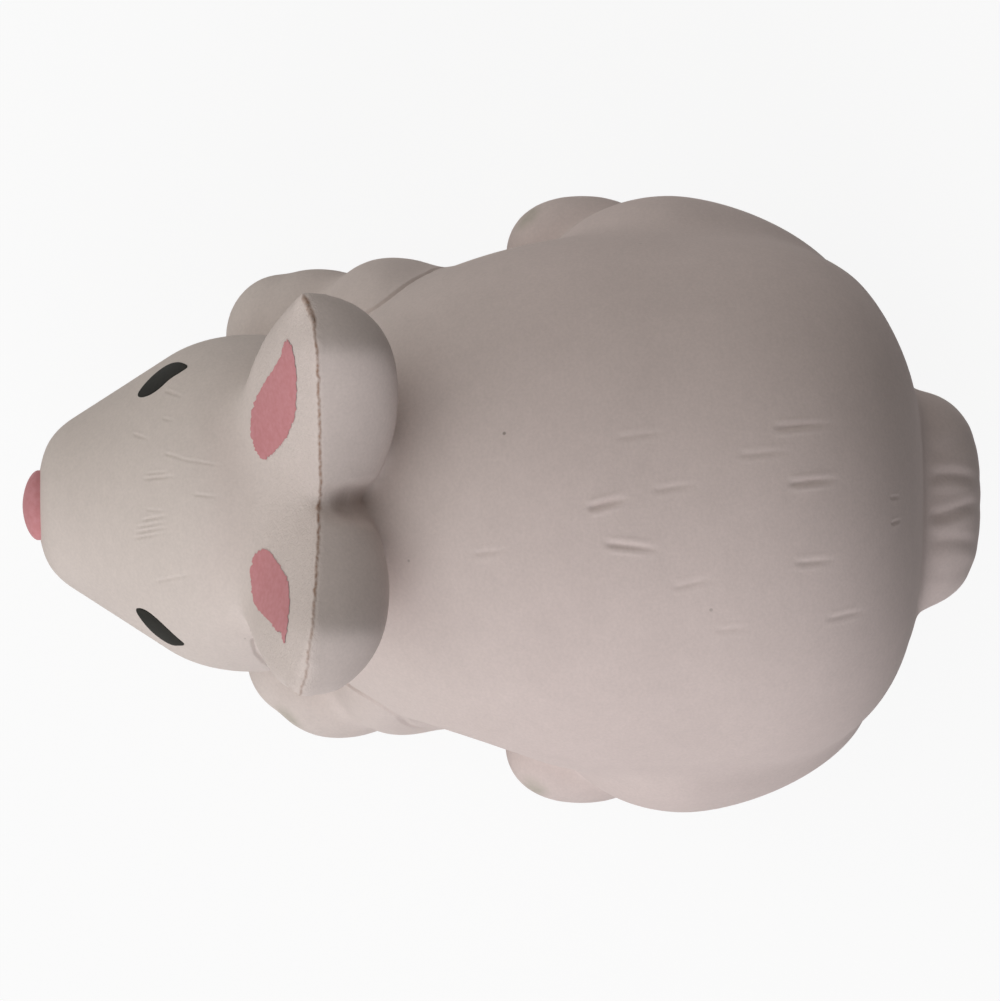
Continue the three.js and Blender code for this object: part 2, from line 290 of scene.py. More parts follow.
forms = {
    "torso": makeEgg("torsoBulk", torsoForm),
    "head": makeHead("headBulk", headForm),
    "tail": makeEgg("tailBulk", tailForm),
    "left_ear": makeEar("leftEarBulk", earForms[1], 1),
    "right_ear": makeEar("rightEarBulk", earForms[-1], -1),
}
limbForms = {
    "foreleg": forelegForm, "forepaw": forepawForm, "toes": toesForm,
    "haunch": haunchForm, "hind_foot": hindFootForm,
}
for limb, form in limbForms.items():
    for side, name in ((1, "left_" + limb), (-1, "right_" + limb)):
        out, station = handMade.get(name, (0, 0))
        spot = {"out": side * (form["out"] + out), "station": form["station"] + station}
        forms[name] = makeEgg(limb + "Bulk", {**form, **spot})
for side in ("left", "right"):  # the toes are the front of the paw
    toes = forms.pop(side + "_toes")
    trim(forms[side + "_forepaw"], toes, "UNION")
    putAway(toes)
formTrees = {name: BVHTree.FromObject(forms[name], bpy.context.evaluated_depsgraph_get())
             for name in ("torso", "left_foreleg", "right_foreleg")}
print("forms made:", len(forms))


# one skin over all the forms: the toy is a single moulding, so its creases are filleted
skinSettings = {
    "voxel": 0.4,
    "fairPasses": 10, "broadPasses": 12,
    "aboveBase": (1.5, 3), "belowRims": (40, 43),  # heights between which the skin is faired broadly
    "filletLength": 4.2,  # how far the fullest crease is filled, along the skin
    "plainFillet": 0.06,  # share of that at an ordinary crease
    "softCreases": [  # middle, reach, share
        ((4, -26, 38.5), 10, 1.0), ((-4, -26, 38.5), 10, 1.0),  # brow to ear fronts
        ((0, -20.5, 42), 4, 0.6),  # between the ear fronts
        ((12, -22, 39), 6, 0.5), ((-12, -22, 39), 6, 0.5),  # outer feet of the ears
        ((23, 20, 24), 15, 1.0), ((-23, 20, 24), 15, 1.0),  # haunches
        ((24, 31, 14), 12, 1.0), ((-24, 31, 14), 12, 1.0),  # behind the haunches
        ((20, -14, 12), 5, 0.35), ((-20, -14, 12), 5, 0.35),  # wrists
        ((19.5, -9.5, 20), 7, 0.25), ((-19.5, -9.5, 20), 7, 0.25),  # shoulders
        ((21.5, -4.5, 14), 7.5, 1.0), ((-21.5, -4.5, 14), 7.5, 1.0),  # elbows
    ],
    "roundTip": {"middle": (17.8, -18.9, 48.5), "reach": 4.5, "length": 1.1},  # the left ear's
    "dents": [  # middle, reach, depth
        ((23.5, -2.5, 19), 10, 1.5), ((-15.5, 37.5, 20), 8, 0.9), ((11.5, 39, 18), 4, -0.4),
        ((0, -15, 44), 3.2, 0.7), ((0, -13.2, 42.6), 3.4, 1.1),
    ],
}

regionGrowth = {  # each region is its form, grown past the fillet
    "left_ear": 0.7, "right_ear": 0.7, "tail": 0.5,
    "left_haunch": 0.6, "right_haunch": 0.6, "left_hind_foot": 0.6, "right_hind_foot": 0.6,
    "left_foreleg": 0.5, "right_foreleg": 0.5, "left_forepaw": 0.6, "right_forepaw": 0.6,
    "head": 0.9,
}
earSpace = {"station": -19, "length": 22, "bottom": 46, "height": 30, "width": 60}
headSpace = {"station": -33, "length": 25.6, "bottom": 33, "height": 30, "width": 60}
ownSpace = {"left_ear": earSpace, "right_ear": earSpace, "head": headSpace}  # here all skin left is the part's
halfSpace = 200  # a cube this large holds one side of the toy
regions = {}
for name, growth in regionGrowth.items():
    tool = copyOf(forms[name], name + "_region")
    writePoints(tool, readPoints(tool) + growth * readNormals(tool))
    regions[name] = tool
for name, space in ownSpace.items():
    bpy.ops.object.select_all(action="DESELECT")
    bpy.ops.mesh.primitive_cube_add(
        size=mm, location=(0, space["station"] * mm, (space["bottom"] + space["height"] / 2) * mm),
        scale=(space["width"], space["length"], space["height"]))
    box = bpy.context.active_object
    trim(regions[name], box, "UNION")
    putAway(box)
for side, name in ((1, "left_ear"), (-1, "right_ear")):  # each ear keeps to its own side
    bpy.ops.object.select_all(action="DESELECT")
    bpy.ops.mesh.primitive_cube_add(size=halfSpace * mm, location=(side * halfSpace / 2 * mm, 0, 0))
    half = bpy.context.active_object
    trim(regions[name], half, "INTERSECT")
    putAway(half)

pickOnly(*forms.values())
bpy.ops.object.join()
skin = bpy.context.active_object
skin.name = "skin"
finishWith(skin, "REMESH", mode="VOXEL", voxel_size=skinSettings["voxel"] * mm, use_smooth_shade=True)
print("skin remeshed:", len(skin.data.polygons), "faces")


def neighbourMean(points, edges, count):
    total = np.empty_like(points)
    for axis in range(3):
        column = points[:, axis]
        total[:, axis] = (np.bincount(edges[:, 0], column[edges[:, 1]], len(points))
                          + np.bincount(edges[:, 1], column[edges[:, 0]], len(points)))
    return total / count[:, None]


def fair(piece, passes, share=1.0, pulls=(0.5, -0.53)):  # the second pull undoes the shrinking of the first
    points, edges = readPoints(piece), readEdges(piece)
    count = np.bincount(edges.ravel(), minlength=len(points))
    for step in range(passes):
        for pull in pulls:
            points = points + share * pull * (neighbourMean(points, edges, count) - points)
    writePoints(piece, points)


def fillCreases(piece, settings):
    points, edges = readPoints(piece), readEdges(piece)
    count = np.bincount(edges.ravel(), minlength=len(points))
    strength = np.full(len(points), settings["plainFillet"])
    for middle, reach, share in settings["softCreases"]:
        away = np.linalg.norm(points - np.array(middle), axis=1)
        strength = np.maximum(strength, share * (1 - ease(away, 0.6 * reach, reach)))
    passes = int((settings["filletLength"] / settings["voxel"]) ** 2 / 0.5)
    for step in range(passes):
        if step % 5 == 0:
            writePoints(piece, points)
            normals = readNormals(piece)
        lift = ((neighbourMean(points, edges, count) - points) * normals).sum(axis=1)
        points = points + normals * (0.5 * strength * np.maximum(lift, 0))[:, None]
    writePoints(piece, points)


fair(skin, skinSettings["fairPasses"])
fillCreases(skin, skinSettings)
fair(skin, skinSettings["fairPasses"])
tip = skinSettings["roundTip"]
away = np.linalg.norm(readPoints(skin) - np.array(tip["middle"]), axis=1)
atTip = 1 - ease(away, 0.5 * tip["reach"], tip["reach"])
tipPasses = int((tip["length"] / skinSettings["voxel"]) ** 2 / 0.25)
fair(skin, tipPasses, atTip[:, None], (0.5,))
points, normals = readPoints(skin), readNormals(skin)
for middle, reach, depth in skinSettings["dents"]:
    away = np.linalg.norm(points - np.array(middle), axis=1) / reach
    points -= normals * (depth * np.maximum(1 - away ** 2, 0) ** 2)[:, None]
writePoints(skin, points)
heights = points[:, 2]
broad = (1 - ease(heights, *skinSettings["belowRims"])) * ease(heights, *skinSettings["aboveBase"])
fair(skin, skinSettings["broadPasses"], broad[:, None], (0.5,))
points = readPoints(skin)
points[:, 2] = np.maximum(points[:, 2], 0)  # flat underside
writePoints(skin, points)
print("skin faired")


# relief pressed into the skin: fur strokes, folds, tail grooves and the moulding flash on the ears
furStrokes = {
    "lip": 0.3, "above": 28, "swell": (-0.03, 0.2), "fade": (0.4, 1.03),  # shares of the stroke's length
    "marks": [  # from and to as out, station, then depth and half width
        (0.55, 8.1, -0.6, 12.1, 0.28, 0.42), (-1.15, 14.1, -1.9, 18.6, 0.1, 0.38),
        (3.75, 9.6, 4.3, 15.2, 0.2, 0.4), (7.9, 15.9, 6.86, 20.2, 0.1, 0.38),
        (-4.4, 22.0, -4.95, 27.4, 0.1, 0.38), (-1.75, 26.7, -2.35, 31.9, 0.22, 0.4),
        (-6.95, 25.4, -7.5, 31.5, 0.22, 0.4), (5.6, 27.3, 5.2, 31.6, 0.11, 0.38),
        (11.9, 20.0, 11.5, 23.6, 0.07, 0.35), (-6.0, 10.6, -6.8, 16.2, 0.07, 0.38),
        (4.73, -2.64, 4.26, 0.88, 0.07, 0.35), (10.9, 30.4, 9.9, 34.5, 0.1, 0.35),
        (-0.47, 36.5, -0.66, 37.6, 0.1, 0.22), (1.95, 36.6, 1.48, 37.8, 0.12, 0.22),
        (-10.1, 36.0, -10.2, 37.4, 0.06, 0.25),  # the back ends here, the brow follows
        (-10.64, -31.65, -9.99, -29.68, 0.11, 0.2), (-7.97, -31.74, -7.78, -30.52, 0.07, 0.18),
        (-6.56, -34.65, -5.95, -32.87, 0.08, 0.2), (-4.69, -31.55, -4.13, -29.3, 0.08, 0.18),
        (-4.22, -30.4, -3.47, -25.6, 0.06, 0.17), (-2.25, -33.62, -2.58, -30.05, 0.1, 0.18),
        (-2.75, -33.3, -2.92, -31.0, 0.07, 0.16), (-0.84, -28.74, -0.56, -25.9, 0.07, 0.18),
        (1.6, -33.7, 1.15, -31.0, 0.1, 0.18), (2.3, -34.3, 1.75, -31.0, 0.08, 0.17),
        (2.8, -34.3, 2.2, -30.8, 0.1, 0.18), (3.35, -34.6, 2.75, -31.2, 0.08, 0.17),
        (7.4, -32.6, 6.6, -28.3, 0.06, 0.2), (0.6, -33.3, 0.75, -31.2, 0.06, 0.16),
    ],
}
shoulderCreases = {
    "depth": 0.4, "width": 0.3, "filled": (0.6, 1.3),  # a crease filled that far is lost
    "fade": {"left_foreleg": (-12, -6), "right_foreleg": (-7, -2)},  # stations
    "beyond": 13, "stations": (-18, 0), "heights": (12, 32),  # where the shoulders are looked for
}
cheekFold = {  # beside the left ear, drawn as out, station
    "line": [(13.0, -23.1), (14.1, -22.9), (14.75, -22.4), (15.2, -21.9)],
    "heights": (25, 40), "depth": 0.3, "width": 0.4,
}
tailGrooves = {
    "marks": [  # out at the tail's root and at its end, depth, half width
        (-5.0, -5.6, 0.12, 0.9), (-2.3, -2.5, 0.34, 0.65), (1.4, 0.5, 0.36, 0.65),
        (4.4, 3.4, 0.18, 0.8), (6.9, 6.3, 0.08, 0.9),
    ],
    "run": (38, 46), "start": (40.6, 42.1), "end": (44.6, 46.2),  # stations
    "kept": 0.1,  # share of the depth at the end
    "rise": (8, 13), "half": 10.6, "wave": 0.25, "lip": 0.35,
}
earFlash = {
    "reach": 0.18, "height": 0.03, "ragged": 0.06, "raggedStep": 0.25, "wobble": 0.045, "seed": 7,
    "torn": 0.2, "tornWiden": 0.6, "tornFrom": (4.2, 2.8), "tornTo": 0.6,  # measured back from the right tip
    "hookFrom": 0.5, "hookTo": 1.5, "hookShare": 0.4,  # in from the left tip, and up the front from its foot
    # tint: how far the rim's brown reaches; it also paints the shadow behind the flash ridge
    "tint": (0.04, 0.22), "tintLoss": 0.35, "tintLost": (7, 13),
    "ridgeReach": 1.6, "above": 38, "before": -12,  # where the rims are looked for
}
reliefReach = {"strokes": 1.0, "fold": 1.2, "creases": 1, "rims": 0.9, "cuts": 2, "fairPasses": 4}


def rimLine(form, side, count=60):  # the ear's rim, from the middle line to the tip
    out = np.linspace(0, form["tipOut"] - 0.2, count)
    return np.column_stack((side * out, earSpots(form, out)[1]))


def hookLine(form, side, count=8):  # where the flash goes on round the tip, along the front's outer edge
    out = form["tipOut"] - np.linspace(earFlash["hookFrom"], earFlash["hookTo"], count)
    foot, rim = earSpots(form, out)[:2]
    return np.column_stack((side * out, foot + earFlash["hookShare"] * (rim - foot)))


def followRidge(piece, line, reach):  # moves a drawn line onto the sharpest edge of the skin near it
    points, edges, normals = readPoints(piece), readEdges(piece), readNormals(piece)
    count = np.bincount(edges.ravel(), minlength=len(points))
    sharp = ((points - neighbourMean(points, edges, count)) * normals).sum(axis=1)
    heading = np.gradient(line, axis=0)
    heading /= np.linalg.norm(heading, axis=1)[:, None]
    found = []
    for spot, ahead in zip(line, heading):
        away = np.linalg.norm(points - spot, axis=1)
        weight = np.maximum(sharp, 0) ** 3 * np.maximum(1 - (away / reach) ** 2, 0) + 1e-12
        offset = np.zeros(3)
        if away.min() < reach:
            offset = ((points - spot) * weight[:, None]).sum(axis=0) / weight.sum()
        found.append(spot + offset - offset.dot(ahead) * ahead)
    found = np.array(found)
    found[1:-1] = (found[:-2] + 2 * found[1:-1] + found[2:]) / 4
    return found


def layOn(piece, line):  # moves each spot of a line to the nearest place on the skin
    tree = BVHTree.FromObject(piece, bpy.context.evaluated_depsgraph_get())
    return np.array([tree.find_nearest(Vector(spot * mm))[0] for spot in line]) / mm


def distanceToLine(points, line):  # nearest distance, and how far along the line that is
    best, walked = np.full(len(points), 1e9), np.zeros(len(points))
    steps = np.linalg.norm(np.diff(line, axis=0), axis=1)
    start = np.concatenate(([0], np.cumsum(steps)))
    for index, step in enumerate(steps):
        ahead = (line[index + 1] - line[index]) / step
        share = np.clip((points - line[index]) @ ahead, 0, step)
        away = np.linalg.norm(points - line[index] - np.outer(share, ahead), axis=1)
        nearer = away < best
        best[nearer], walked[nearer] = away[nearer], start[index] + share[nearer]
    return best, walked


def strokeReach(points, mark):  # sideways distance from a stroke seen from above, and the share along it
    start, end = np.array(mark[0:2]), np.array(mark[2:4])
    run = end - start
    share = ((points[:, :2] - start) @ run) / (run @ run)
    return np.linalg.norm(points[:, :2] - start - np.outer(np.clip(share, 0, 1), run), axis=1), share


def refineNear(piece, chosen, cuts):
    corners = np.empty(len(piece.data.polygons) * 3)
    piece.data.polygons.foreach_get("center", corners)
    flags = chosen(corners.reshape(-1, 3) / mm)
    pickOnly(piece)
    bpy.context.tool_settings.mesh_select_mode = (False, False, True)
    bpy.ops.object.mode_set(mode="EDIT")
    bpy.ops.mesh.select_all(action="DESELECT")
    bpy.ops.object.mode_set(mode="OBJECT")
    piece.data.polygons.foreach_set("select", flags)
    bpy.ops.object.mode_set(mode="EDIT")
    bpy.ops.mesh.subdivide(number_cuts=cuts)
    bpy.ops.object.mode_set(mode="OBJECT")


rims = {side: followRidge(skin, rimLine(form, side), earFlash["ridgeReach"])
        for side, form in earForms.items()}
rims[1] = np.vstack((rims[1], hookLine(earForms[1], 1)))
rims = {side: layOn(skin, line) for side, line in rims.items()}
dice = np.random.default_rng(earFlash["seed"])
for line in rims.values():
    line[:, 1] += earFlash["wobble"] * dice.normal(size=len(line))


def foldReach(points):  # distance from the cheek's fold seen from above
    line = np.array([(out, station, 0) for out, station in cheekFold["line"]])
    away = distanceToLine(points * np.array((1, 1, 0)), line)[0]
    low, high = cheekFold["heights"]
    away[(points[:, 2] < low) | (points[:, 2] > high)] = 1e9
    return away


def creaseReach(points, leg):  # distance from midway between torso and leg, and how open the crease is there
    side = 1 if leg.startswith("left") else -1
    chosen = side * points[:, 0] > shoulderCreases["beyond"]
    for axis, (low, high) in ((1, shoulderCreases["stations"]), (2, shoulderCreases["heights"])):
        chosen &= (points[:, axis] > low) & (points[:, axis] < high)
    shoulder = np.flatnonzero(chosen)
    spots = [Vector(spot * mm) for spot in points[shoulder]]
    torsoAway, legAway = (np.array([formTrees[name].find_nearest(spot)[3] / mm for spot in spots])
                          for name in ("torso", leg))
    reach, share = np.full(len(points), 1e9), np.zeros(len(points))
    reach[shoulder] = np.abs(torsoAway - legAway)
    share[shoulder] = 1 - ease(np.maximum(torsoAway, legAway), *shoulderCreases["filled"])
    return reach, share


def tornShare(side, walked):  # the right ear's flash is torn near the tip
    fromEnd = walked.max() - walked
    start, full = earFlash["tornFrom"]
    return (1 - ease(fromEnd, full, start)) * ease(fromEnd, 0, earFlash["tornTo"]) * (side < 0)


def onEars(points):
    return np.flatnonzero((points[:, 2] > earFlash["above"]) & (points[:, 1] < earFlash["before"]))


def nearRelief(points):
    near = np.zeros(len(points), bool)
    above = points[:, 2] > furStrokes["above"]
    for mark in furStrokes["marks"]:
        near |= above & (strokeReach(points, mark)[0] < reliefReach["strokes"])
    near |= foldReach(points) < reliefReach["fold"]
    for leg in shoulderCreases["fade"]:
        near |= creaseReach(points, leg)[0] < reliefReach["creases"]
    close = onEars(points)
    for line in rims.values():
        near[close] |= distanceToLine(points[close], line)[0] < reliefReach["rims"]
    return near


refineNear(skin, nearRelief, reliefReach["cuts"])
fair(skin, reliefReach["fairPasses"], nearRelief(readPoints(skin)).astype(float)[:, None])
points, normals = readPoints(skin), readNormals(skin)
push = np.zeros(len(points))
for mark in furStrokes["marks"]:
    away, share = strokeReach(points, mark)
    width = mark[5]
    taper = ease(share, *furStrokes["swell"]) * (1 - ease(share, *furStrokes["fade"])) * (normals[:, 2] > 0.2)
    groove = np.maximum(1 - (away / width) ** 2, 0) ** 2
    lip = furStrokes["lip"] * np.exp(-((away - 1.6 * width) / (0.5 * width)) ** 2)
    push += mark[4] * taper * (lip - groove)
station = points[:, 1]
onTail = ease(station, *tailGrooves["start"]) * ease(points[:, 2], *tailGrooves["rise"])
onTail *= 1 - (1 - tailGrooves["kept"]) * ease(station, *tailGrooves["end"])
onTail *= np.abs(points[:, 0]) < tailGrooves["half"]
for root, end, depth, width in tailGrooves["marks"]:
    wave = tailGrooves["wave"] * np.sin(station * 0.9 + root)
    middle = root + (end - root) * ease(station, *tailGrooves["run"]) + wave
    across = np.abs(points[:, 0] - middle) / width
    lip = tailGrooves["lip"] * np.exp(-((across - 1.7) / 0.6) ** 2)
    push -= depth * onTail * (np.maximum(1 - across ** 2, 0) ** 2 - lip)
push -= cheekFold["depth"] * np.maximum(1 - (foldReach(points) / cheekFold["width"]) ** 2, 0) ** 2
for leg, fade in shoulderCreases["fade"].items():
    reach, share = creaseReach(points, leg)
    line = np.maximum(1 - (reach / shoulderCreases["width"]) ** 2, 0) ** 2
    push -= shoulderCreases["depth"] * share * (1 - ease(points[:, 1], *fade)) * line
close = onEars(points)
for side, line in rims.items():
    away, walked = distanceToLine(points[close], line)
    steps = np.arange(0, walked.max() + 0.3, earFlash["raggedStep"])
    ragged = np.interp(walked, steps, dice.uniform(0, 1, len(steps)))
    torn = tornShare(side, walked)
    height = earFlash["height"] + (earFlash["ragged"] + earFlash["torn"] * torn) * ragged
    reach = earFlash["reach"] * (1 + earFlash["tornWiden"] * torn)
    push[close] += height * np.maximum(1 - (away / reach) ** 2, 0)
writePoints(skin, points + normals * push[:, None])
print("relief pressed:", len(skin.data.polygons), "faces")


# the skin is parted where the toy's parts meet; each part keeps the skin's own shading
whole = copyOf(skin, "wholeSkin")
parts = {}
for name, region in regions.items():
    part = copyOf(skin, name + "_foam")
    trim(part, region, "INTERSECT")
    trim(skin, region, "DIFFERENCE")
    parts[name] = part
skin.name = "torso_foam"
parts["torso"] = skin
print("skin parted:", {name: len(part.data.polygons) for name, part in parts.items()})


def takeShading(piece, reach):
    pickOnly(piece)
    bpy.ops.object.shade_smooth_by_angle(angle=math.radians(40))
    finishWith(piece, "DATA_TRANSFER", object=whole, use_loop_data=True, data_types_loops={"CUSTOM_NORMAL"},
               loop_mapping="POLYINTERP_NEAREST", use_max_distance=True, max_distance=reach * mm)


for part in parts.values():
    takeShading(part, 0.02)
for name in ("left_ear", "right_ear", "head"):  # the flash tints the rim with its own brown, less so towards the left tip; laid behind the ridge, the tint is also painted shadow
    points = readPoints(parts[name])
    tint = np.zeros(len(points))
    for side, line in rims.items():
        # the line is moved 0.1 mm rearwards, so the tint also paints the shadow that falls behind the flash
        # ridge
        away, walked = distanceToLine(points, line + np.array((0, 0.1, 0)))
        tint = np.maximum(tint, 1 - ease(away / (1 + tornShare(side, walked)), *earFlash["tint"]))
    tint *= 1 - earFlash["tintLoss"] * ease(points[:, 0], *earFlash["tintLost"])
    parts[name].data.attributes.new("flash", "FLOAT", "POINT").data.foreach_set("value", tint)
print("shading carried over")


# paint films, laid on the skin the way the brush points
# outlines are out, station for a brush from above, and station, height for one from the side
paintFilms = {
    "proud": 0.06, "sunk": 0.25, "thick": 5, "past": 2.4,  # the cutter's thickness, and how deep it goes
    "left_ear_lining": {"brush": (0, 0, -1), "rough": 0.05, "seed": 3, "outline": [
        (4.43, -22.37), (4.34, -21.63), (5.17, -20.8), (6.18, -20.16), (7.1, -19.6), (8.95, -19.41),
        (10.56, -19.51), (12.05, -19.72), (12.91, -19.91), (11.92, -20.21), (11.8, -20.58),
        (11.06, -21.27), (10.38, -22.0), (9.45, -22.75), (8.71, -23.0), (7.84, -23.12),
        (7.1, -23.18), (6.37, -23.29), (5.07, -22.93)]},
    "right_ear_lining": {"brush": (0, 0, -1), "rough": 0.05, "seed": 4, "outline": [
        (-15.04, -19.6), (-14.43, -19.12), (-13.07, -18.85), (-11.31, -18.69), (-9.28, -18.78),
        (-7.25, -19.19), (-5.77, -20.0), (-4.82, -20.95), (-4.07, -21.9), (-4.55, -22.51),
        (-5.36, -22.92), (-6.85, -23.25), (-8.06, -23.18), (-9.15, -22.92), (-10.23, -22.44),
        (-11.31, -21.76), (-12.4, -20.95), (-13.34, -20.34), (-14.56, -19.94)]},
    "left_eye": {"brush": (-1, 0, 0), "rough": 0, "seed": 5, "outline": [
        (-34.45, 29.0), (-34.15, 29.75), (-33.4, 30.45), (-32.4, 30.85), (-31.4, 30.95), (-30.5, 30.85),
        (-29.85, 30.55), (-30.45, 29.55), (-31.1, 28.6), (-31.95, 27.95), (-32.85, 27.8), (-33.7, 28.2)]},
    "right_eye": {"brush": (1, 0, 0), "rough": 0, "seed": 6, "outline": [
        (-34.3, 29.2), (-33.85, 30.05), (-33.0, 30.85), (-32.1, 31.3), (-31.2, 31.45), (-30.2, 31.75),
        (-29.5, 31.7), (-29.95, 30.7), (-30.6, 29.65), (-31.4, 28.75), (-32.3, 28.3), (-33.2, 28.35),
        (-33.95, 28.7)]},
}
shells = {}
for key, offset in (("outer", paintFilms["proud"]), ("inner", -paintFilms["sunk"])):
    shells[key] = copyOf(whole, key + "Shell")
    writePoints(shells[key], readPoints(whole) + offset * readNormals(whole))
skinTree = BVHTree.FromObject(whole, bpy.context.evaluated_depsgraph_get())


def touchSkin(spot, brush):  # where a brush moving that way first meets the skin
    return np.array(skinTree.ray_cast(Vector(spot) * mm - 0.1 * Vector(brush), Vector(brush))[0]) / mm


def roundedOutline(outline, perSpan=8):  # closed curve through the drawn points
    points = np.array(outline)
    if (np.cross(points, np.roll(points, -1, axis=0))).sum() < 0:
        points = points[::-1]
    t = (np.arange(perSpan) / perSpan)[None, :, None]
    a, b, c, d = (np.roll(points, step, axis=0)[:, None, :] for step in (1, 0, -1, -2))
    square, cube = 2 * a - 5 * b + 4 * c - d, 3 * b - a - 3 * c + d
    curve = 0.5 * (2 * b + (c - a) * t + square * t ** 2 + cube * t ** 3)
    return curve.reshape(-1, 2)


def makeFilm(name, film):
    outline = roundedOutline(film["outline"])
    dice = np.random.default_rng(film["seed"])
    outline = outline + film["rough"] * dice.normal(size=outline.shape)
    count = len(outline)
    bpy.ops.object.select_all(action="DESELECT")
    bpy.ops.mesh.primitive_circle_add(vertices=count, radius=1, fill_type="TRIFAN")
    piece = bpy.context.active_object
    piece.name = name
    rim = readPoints(piece)
    centre = np.flatnonzero(np.linalg.norm(rim, axis=1) < 1)
    around = np.setdiff1d(np.arange(len(rim)), centre)
    turn = np.argsort(np.arctan2(rim[around, 1], rim[around, 0]))
    flat = np.empty((len(rim), 2))
    flat[around[turn]] = outline
    flat[centre] = outline.mean(axis=0)
    brush = np.array(film["brush"])
    spots = np.insert(flat, 2 if brush[2] else 0, 0, axis=1)
    writePoints(piece, np.array([touchSkin(spot, brush) + paintFilms["past"] * brush for spot in spots]))
    pickOnly(piece)
    bpy.ops.object.mode_set(mode="EDIT")
    bpy.ops.mesh.select_all(action="SELECT")
    lift = tuple(-paintFilms["thick"] * mm * brush)
    bpy.ops.mesh.extrude_region_move(TRANSFORM_OT_translate={"value": lift})
    bpy.ops.mesh.select_all(action="SELECT")
    bpy.ops.mesh.normals_make_consistent(inside=False)
    bpy.ops.object.mode_set(mode="OBJECT")
    trim(piece, shells["outer"], "INTERSECT")
    trim(piece, shells["inner"], "DIFFERENCE")
    takeShading(piece, 0.1)
    return piece


films = {name: makeFilm(name + "_paint", film) for name, film in paintFilms.items() if isinstance(film, dict)}
print("paint laid:", {name: len(film.data.polygons) for name, film in films.items()})


# nose: a small pad on the muzzle
noseForm = {
    "out": 0.2, "station": -44.2, "front": 1.5, "rear": 2.7, "half": 3.35,
    "height": 22, "up": 2.5, "down": 2.5, "frontPower": 1.8,
}
nose = makeEgg("nose_paint", noseForm)
pickOnly(nose)
bpy.ops.object.shade_smooth()
putAway(whole, *shells.values(), *regions.values())
print("nose made")


# materials

def linear(shade):  # sRGB hex to linear light
    steps = [int(shade[place:place + 2], 16) / 255 for place in (1, 3, 5)]
    return [step / 12.92 if step <= 0.04045 else ((step + 0.055) / 1.055) ** 2.4 for step in steps] + [1]


def addNode(material, kind, inputs=None, **settings):
    node = material.node_tree.nodes.new("ShaderNode" + kind)
    for key, value in settings.items():
        setattr(node, key, value)
    for key, value in (inputs or {}).items():
        if isinstance(value, bpy.types.NodeSocket):
            material.node_tree.links.new(value, node.inputs[key])
        else:
            node.inputs[key].default_value = value
    return node


def newMaterial(name):
    material = bpy.data.materials.new(name)
    material.use_nodes = True
    material.node_tree.nodes.clear()
    return material


def perMm(size):  # texture scale whose features are that many millimetres across
    return 1 / (size * mm)


# self-skinning polyurethane foam, moulded: a dull skin with fine grain, faint mottling and a few marks; the
# rim flash mark is also painted shadow behind its ridge
foamLook = {
    "cream": "#d3c7c0", "rose": "#d3c3be", "toneRun": (-30, 5),  # stations of the head's and the body's tone
    "clouds": [(7, 0.02), (1.6, 0.015), (0.3, 0.035)],  # size and spread of the mottling, down to the grain
    "grain": 0.3, "grainDepth": 0.04, "roughness": 0.85, "ior": 1.4,
    "speck": "#7d716a", "speckSpacing": 6.5, "speckSize": 0.22, "speckShare": 0.75,
    "smudge": "#a3a08f", "smear": 1.5, "smudges": [  # out, station, height, reach
        (-28.0, 2.7, 6.5, 1.3), (27.7, 3.5, 6.5, 1.3), (21.0, -20.6, 7, 1.3)],
    # flash: the rim's brown, which also serves as painted shadow behind the ridge
    "flash": "#9c7c69", "flashGrain": 0.5,
    "wrinkle": 0.5, "wrinkleDepth": 0.14, "earHeights": (40, 43), "earFronts": (-16, -17.5),
}
foam = newMaterial("moulded_polyurethane_foam")
place = addNode(foam, "TexCoord").outputs["Object"]
placeParts = addNode(foam, "SeparateXYZ", {"Vector": place}).outputs
tones = []
for axis, span in (("Y", "toneRun"), ("Z", "earHeights"), ("Y", "earFronts")):
    low, high = foamLook[span]
    tones.append(addNode(foam, "MapRange", {
        "Value": placeParts[axis], "From Min": low * mm, "From Max": high * mm}).outputs["Result"])
rearwards, onEarHeight, onEarFront = tones
colour = addNode(foam, "MixRGB", {
    "Fac": rearwards, "Color1": linear(foamLook["cream"]),
    "Color2": linear(foamLook["rose"])}).outputs["Color"]
for size, spread in foamLook["clouds"]:
    cloud = addNode(foam, "TexNoise", {"Vector": place, "Scale": perMm(size), "Detail": 3}).outputs["Fac"]
    shade = addNode(foam, "MapRange", {
        "Value": cloud, "From Min": 0.3, "From Max": 0.7,
        "To Min": 1 - spread, "To Max": 1 + spread}).outputs["Result"]
    colour = addNode(foam, "MixRGB", {
        "Fac": 1, "Color1": colour, "Color2": shade}, blend_type="MULTIPLY").outputs["Color"]

# marks laid over the mottling one after another: each a share and a colour
smear = addNode(foam, "TexNoise", {
    "Vector": place, "Scale": perMm(foamLook["smear"]), "Detail": 3}).outputs["Fac"]
marks = []
for out, station, height, reach in foamLook["smudges"]:
    middle = (out * mm, station * mm, height * mm)
    away = addNode(foam, "VectorMath", {0: place, 1: middle}, operation="DISTANCE").outputs["Value"]
    near = addNode(foam, "MapRange", {
        "Value": away, "From Min": 0.2 * reach * mm, "From Max": 1.7 * reach * mm,
        "To Min": 1, "To Max": 0}, interpolation_type="SMOOTHSTEP").outputs["Result"]
    marks.append((near, smear, foamLook["smudge"]))
cells = addNode(foam, "TexVoronoi", {"Vector": place, "Scale": perMm(foamLook["speckSpacing"])})
share = foamLook["speckSize"] / foamLook["speckSpacing"]
dot = addNode(foam, "MapRange", {
    "Value": cells.outputs["Distance"], "From Min": 0.5 * share, "From Max": share,
    "To Min": foamLook["speckShare"], "To Max": 0}).outputs["Result"]
chance = addNode(foam, "SeparateColor", {"Color": cells.outputs["Color"]}).outputs[0]
marks.append((dot, chance, foamLook["speck"]))
